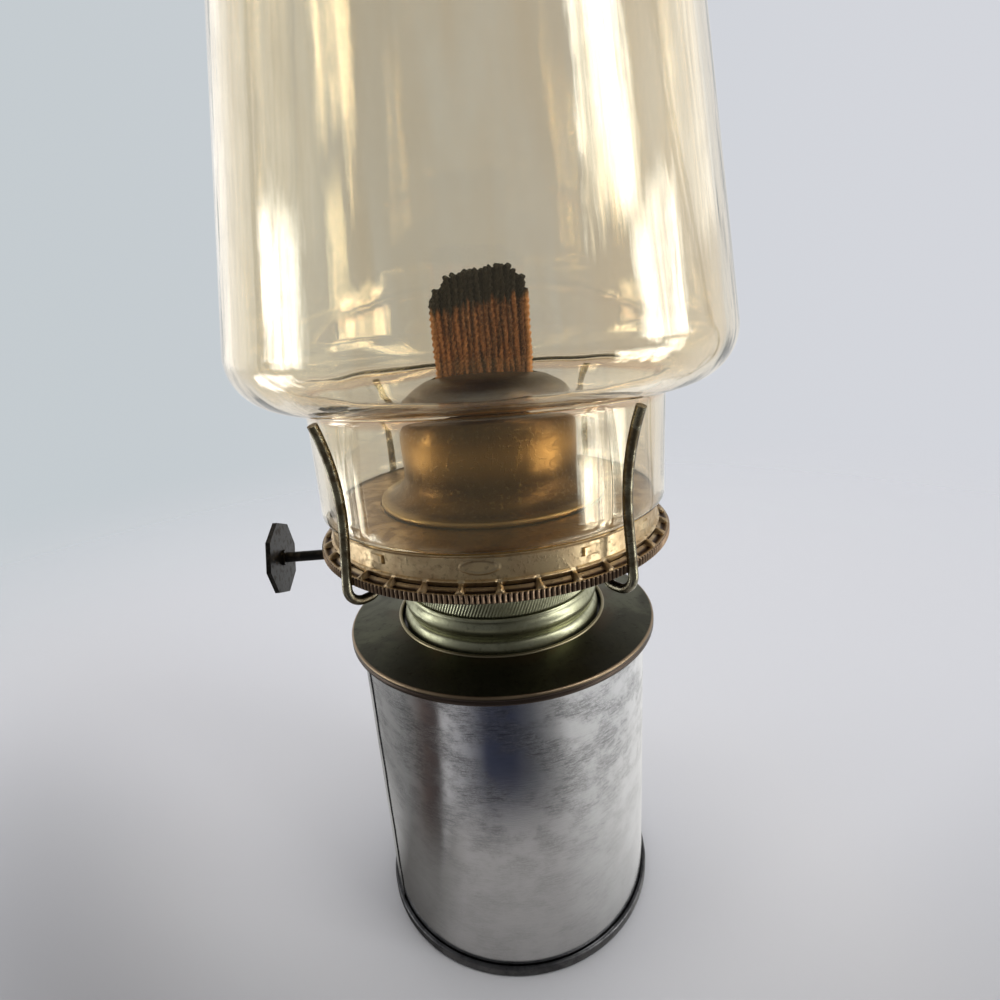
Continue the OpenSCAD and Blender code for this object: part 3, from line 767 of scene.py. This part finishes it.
def dome(material):
    """Dome with a flared foot, a foot bead and a slot for the wick."""
    wall = 19.5 * MM
    turn = 12 * MM
    foot_h = 6.6 * MM
    bead, bead_points, bead_top = 0.6 * MM, 10, 1.3 * MM
    flare_points = 12
    slot_gap = 1 * MM
    top = DOME_TOP
    round_z = top - 0.3 * MM - turn
    flare_r = FOOT_R - 1 * MM - wall
    outer = arc(FOOT_R - bead, DECK_Z + bead, bead, -90, 100, bead_points)
    for k in range(1, flare_points + 1):
        a = math.radians(90 * k / flare_points)
        z = DECK_Z + bead_top + (foot_h - bead_top) * (1 - math.cos(a))
        outer.append((wall + flare_r * (1 - math.sin(a)), z))
    outer += [(wall, DECK_Z + foot_h + 1.5 * MM), (wall, (DECK_Z + foot_h + round_z) / 2)]
    outer += arc(wall - turn, round_z, turn, 0, 80, 18)
    cap_r, cap_z = outer[-1]
    outer += [(cap_r * f, cap_z + (top - cap_z) * (1 - f ** 2)) for f in (0.8, 0.55, 0.3)]
    outer += [(0, top)]
    inner = []
    for r, z in reversed(outer[bead_points + 1:]):
        drop = 0 if z < round_z else min(1, (z - round_z) / turn)
        inner.append((max(r - SHEET, 0), z - SHEET * drop))
    inner[0] = (0, top - SHEET)
    profile = outer + inner + [(FOOT_R - 1.5 * MM, DECK_Z)]
    obj = lathe("dome", profile, sharp=50)
    cutter = flat_slot(wick_high.x + slot_gap, wick_high.y + slot_gap, round_z, top + 5 * MM)
    mod = obj.modifiers.new("slot", "BOOLEAN")
    mod.object = cutter
    mod.operation = "DIFFERENCE"
    mod.solver = "EXACT"
    apply_modifiers(obj)
    bpy.data.objects.remove(cutter)
    smooth(obj, 50)
    return dress(obj, "deflector", material, "deflector", slot="dome_brass")


# Place over the wick's width, and depth of its trimmed top below the highest point, in millimetres
WICK_TOP = (
    (-10.6, 8.2), (-10.2, 6.4), (-8.9, 4.6), (-7.8, 3.2), (-6.4, 2.1), (-5.1, 1.3), (-2, 0.9), (0.8, 0.5),
    (3.9, 0.1), (6.3, 0.2), (7.5, 1.2), (8.5, 2.1), (9.2, 3.1), (9.9, 5.0), (10.6, 8.0),
)
YARN_R = 0.58 * MM
YARN_FROM = wick_high.z - 32 * MM


def wick_top(x):
    """Height of the trimmed top at a place over the wick's width."""
    across = x / MM
    for (x0, d0), (x1, d1) in zip(WICK_TOP, WICK_TOP[1:]):
        if across <= x1:
            t = max(0.0, min(1.0, (across - x0) / (x1 - x0)))
            return wick_high.z - (d0 + (d1 - d0) * t) * MM
    return wick_high.z - WICK_TOP[-1][1] * MM


def strand(verts, faces, centre, reach, z1, phase, rng):
    """A two-ply twisted yarn that stands upright within reach of the middle, with a ragged end."""
    sides = 12
    step = 0.2 * MM
    twist = 2.6 * MM
    sway_size, sway_length, most_lean, upright = 0.14 * MM, 1.9 * MM, 0.05, 12 * MM
    ply_mean, ply_depth, fuzz_depth = 0.98, 0.24, 0.17
    end_length, end_share = 0.5 * MM, 0.3
    rings = max(4, int((z1 - YARN_FROM) / step))
    first = len(verts)
    lean = rng.uniform(-most_lean, most_lean)
    for k in range(rings + 1):
        z = YARN_FROM + (z1 - YARN_FROM) * k / rings
        turn = TAU * z / twist + phase
        sway = sway_size * math.sin(z / sway_length + phase) + lean * (z - z1 + upright)
        middle = max(-reach, min(reach, centre[0] + sway))
        end = min(1.0, (z1 - z) / end_length + end_share)
        for s in range(sides):
            a = TAU * s / sides
            ply = ply_mean + ply_depth * math.cos(2 * (a - turn))
            fuzz = 1 + fuzz_depth * rng.uniform(-1, 1)
            r = YARN_R * ply * fuzz * end
            verts.append((middle + r * math.cos(a), centre[1] + r * math.sin(a), z))
    for k in range(rings):
        for s in range(sides):
            n = (s + 1) % sides
            a, b = first + k * sides, first + (k + 1) * sides
            faces.append([a + s, a + n, b + n, b + s])
    faces.append([first + s for s in range(sides)][::-1])
    faces.append([first + rings * sides + s for s in range(sides)])


def woven_wick():
    """Two rows of yarns, and one yarn between them at each side."""
    rng = random.Random(7)
    half_w, half_t = wick_high.x, wick_high.y
    columns = 17
    row_y = half_t - 1.25 * YARN_R
    side_x = half_w - 1.25 * YARN_R
    first_x = -half_w + 1.3 * YARN_R
    row_reach, side_reach = half_w - 1.0 * MM, half_w - 0.72 * MM
    most_drop, side_drop = 0.55, 0.6 * MM
    verts, faces = [], []
    for y in (-row_y, row_y):
        for c in range(columns):
            x = first_x - 2 * first_x * c / (columns - 1)
            end_z = wick_top(x) - rng.uniform(0, most_drop) * MM
            strand(verts, faces, (x, y), row_reach, end_z, rng.uniform(0, TAU), rng)
    for x in (-side_x, side_x):
        strand(verts, faces, (x, 0), side_reach, wick_top(x) - side_drop, 0, rng)
    obj = mesh_object("woven_wick", verts, faces)
    outward(obj)
    smooth(obj, 80)
    return obj


def wick_core():
    """Flat strip inside the yarns, which is also the wick's plain lower part."""
    n = 24
    half_w, half_t = wick_high.x - 0.75 * MM, 0.62 * MM
    low_t = wick_high.y - 0.1 * MM
    top_drop = 0.9 * MM
    levels = ((wick_low.z, low_t), (YARN_FROM, low_t), (YARN_FROM + 0.6 * MM, half_t))
    verts, faces = [], []
    for side in (-1, 1):
        for k in range(n + 1):
            x = -half_w + 2 * half_w * k / n
            for z, thick in levels:
                verts.append((x, side * thick, z))
            verts.append((x, side * half_t, wick_top(x) - top_drop))
    per = len(levels) + 1
    row = per * (n + 1)
    for k in range(n):
        a = per * k
        for m in range(per - 1):
            faces.append([a + m, a + per + m, a + per + m + 1, a + m + 1])
            faces.append([row + a + m, row + a + m + 1, row + a + per + m + 1, row + a + per + m])
        top = per - 1
        faces.append([a + top, a + per + top, row + a + per + top, row + a + top])
        faces.append([a, row + a, row + a + per, a + per])
    last = per * n
    for m in range(per - 1):
        faces.append([m, m + 1, row + m + 1, row + m])
        faces.append([last + m, row + last + m, row + last + m + 1, last + m + 1])
    obj = mesh_object("wick_core", verts, faces)
    outward(obj)
    return obj


def wick(material):
    obj = woven_wick()
    core = wick_core()
    bpy.ops.object.select_all(action="DESELECT")
    obj.select_set(True)
    core.select_set(True)
    bpy.context.view_layer.objects.active = obj
    bpy.ops.object.join()
    return dress(obj, "wick", material, "wick", slot="wick_cotton")


# Chimney
GLASS_WALL = 1.8 * MM
HEEL = 0.6 * MM
LIP = 0.5 * MM
GLASS_CORNERS = (35, 70, 110, 145)


def glass_profile(inset):
    """One side of the glass: neck, fold, shoulder and a straight taper."""
    neck = 38 * MM
    fold = 2.2 * MM
    turn = 9.5 * MM
    taper = 0.15
    neck_points, side_points = 8, 40
    lean = math.atan(taper)
    side = BULGE_R - turn
    end_r = side + turn * (1 / math.cos(lean) + math.tan(lean)) - taper * (GLASS_TOP - SHOULDER_Z)
    neck_h = SHOULDER_Z - fold - DECK_Z
    points = [(neck - inset, DECK_Z + HEEL)]
    points += [(neck - inset, DECK_Z + neck_h * k / neck_points) for k in range(1, neck_points)]
    points += arc(neck + fold, SHOULDER_Z - fold, fold + inset, 180, 90, 12)
    points += arc(side, SHOULDER_Z + turn, turn - inset, -90, math.degrees(lean), 28)
    r0, z0 = points[-1]
    r1, z1 = end_r - inset / math.cos(lean), GLASS_TOP - LIP
    points += [(r0 + (r1 - r0) * k / side_points, z0 + (z1 - z0) * k / side_points)
               for k in range(1, side_points + 1)]
    return points


def glass_end(r, z, height, angles):
    """Rounded end of the glass wall, upwards or downwards."""
    half = GLASS_WALL / 2 * 0.98
    turns = [math.radians(d) for d in angles]
    return [(r + half * math.cos(a), z + height * math.sin(a)) for a in turns]


def chimney(material):
    """Blown glass, uneven all over and dimpled inside its shoulder."""
    long_size, short_size, dimple_size = 0.14 * MM, 0.035 * MM, 0.16 * MM
    inwards = 0.1 * MM
    long_turn, long_rise, short_turn, short_rise, short_shift = 1.6, 110 * MM, 4.0, 80 * MM, 7
    dimple_length, dimple_above, dimple_reach = 6.5 * MM, 3 * MM, 7 * MM
    calm_height = 4 * MM
    outer = glass_profile(0)
    inner = glass_profile(GLASS_WALL)
    top_r = (outer[-1][0] + inner[-1][0]) / 2
    low_r = (outer[0][0] + inner[0][0]) / 2
    lip = glass_end(top_r, GLASS_TOP - LIP, LIP, GLASS_CORNERS)
    heel = glass_end(low_r, DECK_Z + HEEL, -HEEL, reversed(GLASS_CORNERS))
    profile = outer + lip + inner[::-1] + heel

    def shape(i, a, r, z):
        long = Vector((long_turn * math.cos(a), long_turn * math.sin(a), z / long_rise))
        short = Vector((short_turn * math.cos(a), short_turn * math.sin(a), z / short_rise + short_shift))
        calm = min(1.0, max(0.0, (z - DECK_Z) / calm_height))
        wave = long_size * noise.noise(long) + short_size * noise.noise(short) - inwards
        if i >= len(outer):
            dimple = Vector((r * math.cos(a), r * math.sin(a), z)) / dimple_length
            near = math.exp(-((z - SHOULDER_Z - dimple_above) / dimple_reach) ** 2)
            wave += dimple_size * noise.noise(dimple) * near
        return r + wave * calm, z

    obj = lathe("glass_chimney", profile, 384, shape, sharp=180)
    return dress(obj, "chimney", material, "chimney", slot="lustre_glass")


# Studio
def unreflected(nt):
    """One for a ray from the camera that has met nothing but glass, and zero after any reflection."""
    path = nt.nodes.new("ShaderNodeLightPath")
    straight = math_node(nt, "MAXIMUM", path.outputs["Is Camera Ray"], path.outputs["Is Transmission Ray"])
    turns = add(nt, path.outputs["Glossy Depth"], path.outputs["Diffuse Depth"])
    return mul(nt, straight, math_node(nt, "LESS_THAN", turns, 0.5))


# Azimuth range, elevation range, edge softness, brightness and colour of each window
WINDOWS_OF_LIGHT = (
    ((50, 74), (21, 62), 2.0, 5.2, (1.0, 1.0, 0.97)),
    ((68, 94), (2, 20), 2.0, 5.0, (1.0, 1.0, 0.97)),
    ((69, 76), (-5, 3), 1.5, 3.0, (1.0, 1.0, 0.97)),
    ((81, 91), (-16, -2), 1.5, 3.4, (1.0, 1.0, 0.90)),
    ((57, 84), (-27, -13), 2.0, 6.5, (1.0, 1.0, 0.97)),
    ((-99, -78), (2, 20), 2.0, 5.0, (0.99, 1.0, 0.98)),
    ((-95, -80), (-6, 3), 2.0, 3.6, (0.99, 1.0, 0.98)),
    ((-112, -90), (-27, -13), 2.0, 6.5, (0.99, 1.0, 0.98)),
    ((-99, -70), (20, 60), 6.0, 0.45, (1.0, 1.0, 0.96)),
    ((98, 128), (12, 50), 3.0, 0.6, (1.0, 0.99, 0.95)),
    ((-150, -104), (-5, 60), 4.0, 0.35, (1.0, 0.99, 0.95)),
)


def sky_noise(nt, azimuth, rise, wide, tall, rough):
    """Noise over the directions, in patches of about that many degrees."""
    across, up = over(nt, azimuth, wide), over(nt, rise, tall)
    where = put(nt, "ShaderNodeCombineXYZ", {0: across, 1: up}).outputs[0]
    node = put(nt, "ShaderNodeTexNoise", {"Vector": where, "Scale": 1.0, "Detail": 3.0, "Roughness": rough})
    return node.outputs["Fac"]


def scaled(nt, colour, factor):
    return put(nt, "ShaderNodeVectorMath", {0: colour, "Scale": factor}, operation="SCALE").outputs[0]


def world():
    """Bright windows in a grey room for what mirrors it, and a pale wall for what is seen straight."""
    front_tone, front_low_tone = (0.10, 0.10, 0.105), (0.165, 0.158, 0.145)
    side_tone, back_tone, ceiling_tone = (0.52, 0.52, 0.53), (0.78, 0.78, 0.78), (0.13, 0.13, 0.13)
    wall_left, wall_right = (0.555, 0.60, 0.63), (0.655, 0.67, 0.715)
    bar_tone = 0.3
    w = bpy.data.worlds.new("studio")
    bpy.context.scene.world = w
    w.use_nodes = True
    nt = w.node_tree
    nt.nodes.clear()
    out = nt.nodes.new("ShaderNodeOutputWorld")
    azimuth, parts = around(nt, nt.nodes.new("ShaderNodeTexCoord").outputs["Generated"])
    rise = mul(nt, math_node(nt, "ARCSINE", parts.outputs[2]), 360 / TAU)
    away = math_node(nt, "ABSOLUTE", azimuth)
    room = blend(nt, spread(nt, rise, -14, -2), front_low_tone, front_tone)
    room = blend(nt, spread(nt, away, 40, 100), room, side_tone)
    room = blend(nt, spread(nt, away, 95, 130), room, back_tone)
    room = blend(nt, spread(nt, rise, 24, 50), room, ceiling_tone)
    sway = sky_noise(nt, azimuth, rise, 14.0, 9.0, 0.6)
    folds = spread(nt, sky_noise(nt, azimuth, rise, 4.0, 50.0, 0.5), 0.33, 0.60, 0.30, 1.2)
    uneven = mul(nt, folds, spread(nt, sway, 0.35, 0.60, 0.55, 1.1))
    bent = add(nt, azimuth, mul(nt, less(nt, sway, 0.5), 9.0))
    tall = add(nt, rise, mul(nt, less(nt, folds, 0.8), 3.0))
    for (a0, a1), (e0, e1), soft, strength, tint in WINDOWS_OF_LIGHT:
        pane = mul(nt, band(nt, bent, a0, a1, soft), band(nt, tall, e0, e1, 2.0))
        glow = scaled(nt, tint, mul(nt, mul(nt, pane, uneven), strength))
        room = put(nt, "ShaderNodeVectorMath", {0: room, 1: glow}, operation="ADD").outputs[0]
    slanted = add(nt, azimuth, mul(nt, rise, 0.6))
    bars = add(nt, band(nt, slanted, 111.0, 113.5, 0.6), band(nt, azimuth, -104.5, -101.5, 0.6))
    room = scaled(nt, room, spread(nt, bars, 0, 1, 1.0, bar_tone))
    wall = blend(nt, spread(nt, parts.outputs[0], -0.6, 0.6), wall_left, wall_right)
    seen = put(nt, "ShaderNodeBackground", {"Color": wall, "Strength": 1.0}).outputs[0]
    felt = put(nt, "ShaderNodeBackground", {"Color": room, "Strength": 1.0}).outputs[0]
    mix = put(nt, "ShaderNodeMixShader", {0: unreflected(nt), 1: felt, 2: seen})
    nt.links.new(mix.outputs[0], out.inputs[0])


# What the metal mirrors of the table, far from the font and near it, by azimuth
FAR_TABLE = (
    (-180, (0.55, 0.55, 0.55)),
    (-112, (0.32, 0.32, 0.32)),
    (-78, (0.20, 0.20, 0.20)),
    (-61, (0.08, 0.058, 0.052)),
    (-50, (0.04, 0.03, 0.03)),
    (-47, (0.46, 0.46, 0.47)),
    (-36, (0.36, 0.36, 0.38)),
    (-17, (0.025, 0.03, 0.055)),
    (0, (0.02, 0.024, 0.045)),
    (14, (0.075, 0.078, 0.09)),
    (28, (0.23, 0.23, 0.235)),
    (40, (0.55, 0.55, 0.55)),
    (55, (0.62, 0.62, 0.62)),
    (110, (0.78, 0.78, 0.78)),
    (180, (0.55, 0.55, 0.55)),
)
NEAR_TABLE = (
    (-180, (0.60, 0.60, 0.60)),
    (-92, (0.50, 0.50, 0.50)),
    (-76, (0.18, 0.175, 0.17)),
    (-50, (0.22, 0.215, 0.21)),
    (-32, (0.40, 0.39, 0.39)),
    (20, (0.42, 0.41, 0.41)),
    (52, (0.62, 0.62, 0.62)),
    (80, (0.80, 0.80, 0.80)),
    (180, (0.60, 0.60, 0.60)),
)


def tones(nt, turn, stops):
    """Colour ramp over the azimuth."""
    ramp = nt.nodes.new("ShaderNodeValToRGB")
    ends = ramp.color_ramp.elements
    for k, (angle, tone) in enumerate(stops):
        stop = ends[k] if k < 2 else ends.new(1.0)
        stop.position = (angle + 180) / 360
        stop.color = (*tone, 1)
    nt.links.new(turn, ramp.inputs[0])
    return ramp.outputs[0]


def floor():
    """Pale table with two soft shadows, which fades out far from the lamp."""
    rings = [0, 0.05, 0.1, 0.2, 0.5, 0.9, 1.6]
    just_below = -0.0001
    pale_tone, left_shade, right_shade = (0.52, 0.525, 0.56), (0.13, 0.13, 0.14), (0.20, 0.20, 0.21)
    obj = lathe("floor", [(r, just_below) for r in rings], 64, closed=False)
    mat, nt, bsdf, out = nodes_of("floor")
    where = spot(nt)
    azimuth, parts = around(nt, where)
    toward_left = add(nt, mul(nt, parts.outputs[0], 0.8), parts.outputs[1])
    toward_right = less(nt, parts.outputs[1], mul(nt, parts.outputs[0], 0.5))
    length = put(nt, "ShaderNodeVectorMath", {0: where}, operation="LENGTH").outputs["Value"]
    local = spread(nt, length, 0.09, 0.26, 1.0, 0.0)
    shade = mul(nt, local, spread(nt, toward_left, -0.125, -0.04, 0.72, 0.0))
    pale = blend(nt, shade, pale_tone, left_shade)
    shade = mul(nt, local, spread(nt, toward_right, -0.11, -0.045, 0.40, 0.0))
    pale = blend(nt, shade, pale, right_shade)
    turn = add(nt, over(nt, azimuth, 360), 0.5)
    reach = add(nt, length, spread(nt, azimuth, -50, -40, 0.016, 0.0))
    far_share = spread(nt, reach, 0.062, 0.094)
    mirrored = blend(nt, far_share, tones(nt, turn, NEAR_TABLE), tones(nt, turn, FAR_TABLE))
    direct = unreflected(nt)
    coat(nt, bsdf, blend(nt, direct, mirrored, pale), 0.7)
    bsdf.inputs["Specular IOR Level"].default_value = 0.2
    seen_fade = mul(nt, spread(nt, length, 0.16, 0.62), direct)
    mirrored_fade = mul(nt, spread(nt, length, 0.15, 0.22), less(nt, 1.0, direct))
    clear = nt.nodes.new("ShaderNodeBsdfTransparent").outputs[0]
    fade = add(nt, seen_fade, mirrored_fade)
    mix = put(nt, "ShaderNodeMixShader", {0: fade, 1: bsdf.outputs[0], 2: clear})
    nt.links.new(mix.outputs[0], out.inputs[0])
    obj.data.materials.append(mat)


def ceiling_lamp():
    """Wide soft lamp overhead that no metal or glass mirrors."""
    width, power, place = 1.4, 22.0, (0.1, 0.35, 1.5)
    data = bpy.data.lights.new("ceiling_lamp", "AREA")
    data.shape = "SQUARE"
    data.size = width
    data.energy = power
    obj = bpy.data.objects.new("ceiling_lamp", data)
    obj.location = place
    obj.visible_camera = False
    obj.visible_glossy = False
    obj.visible_transmission = False
    bpy.context.scene.collection.objects.link(obj)


def studio():
    world()
    floor()
    ceiling_lamp()
    bpy.context.scene.view_settings.view_transform = "Standard"


camera()
# Bright and dull colour and range of roughness of the plain metals
dark_tin = aged_metal("dark_tin", (0.14, 0.14, 0.145), (0.075, 0.075, 0.08), (0.32, 0.48))
collar_brass = aged_metal("collar_brass", (0.50, 0.505, 0.345), (0.36, 0.36, 0.24), (0.32, 0.43),
                          grain=0.008)
tube_brass = aged_metal("tube_brass", (0.56, 0.44, 0.22), (0.36, 0.27, 0.13), (0.25, 0.4))
spring_wire = aged_metal("spring_wire", (0.27, 0.25, 0.18), (0.12, 0.095, 0.06), (0.25, 0.40), patch=0.4)
gallery_brass = gallery_finish()
steel = black_steel()

font_body(tinplate())
font_bottom(dark_tin)
hanging_plate(plate_finish())
collar_ring(collar_brass)
knurled_base(collar_brass)
gallery_crown(gallery_brass)
dome(dome_finish())
wick(wick_cotton())
chimney(lustre_glass())

# Nodes that keep their own mesh, by finish
KEPT_NODES = (
    (dark_tin, ("can_top",)),
    (gallery_brass, ("burner_floor", "air_basket", "air_diffuser")),
    (tube_brass, ("wick_tube", "vent_tube", "wheel_housing", "spur_wheels")),
    (steel, ("shaft_bushing", "wick_shaft", "knob")),
    (spring_wire, ("prong_front_left", "prong_front_right", "prong_back_right", "prong_back_left")),
)
for material, names in KEPT_NODES:
    for name in names:
        data = frame["nodes"][name].data
        data.materials.clear()
        data.materials.append(material)

studio()
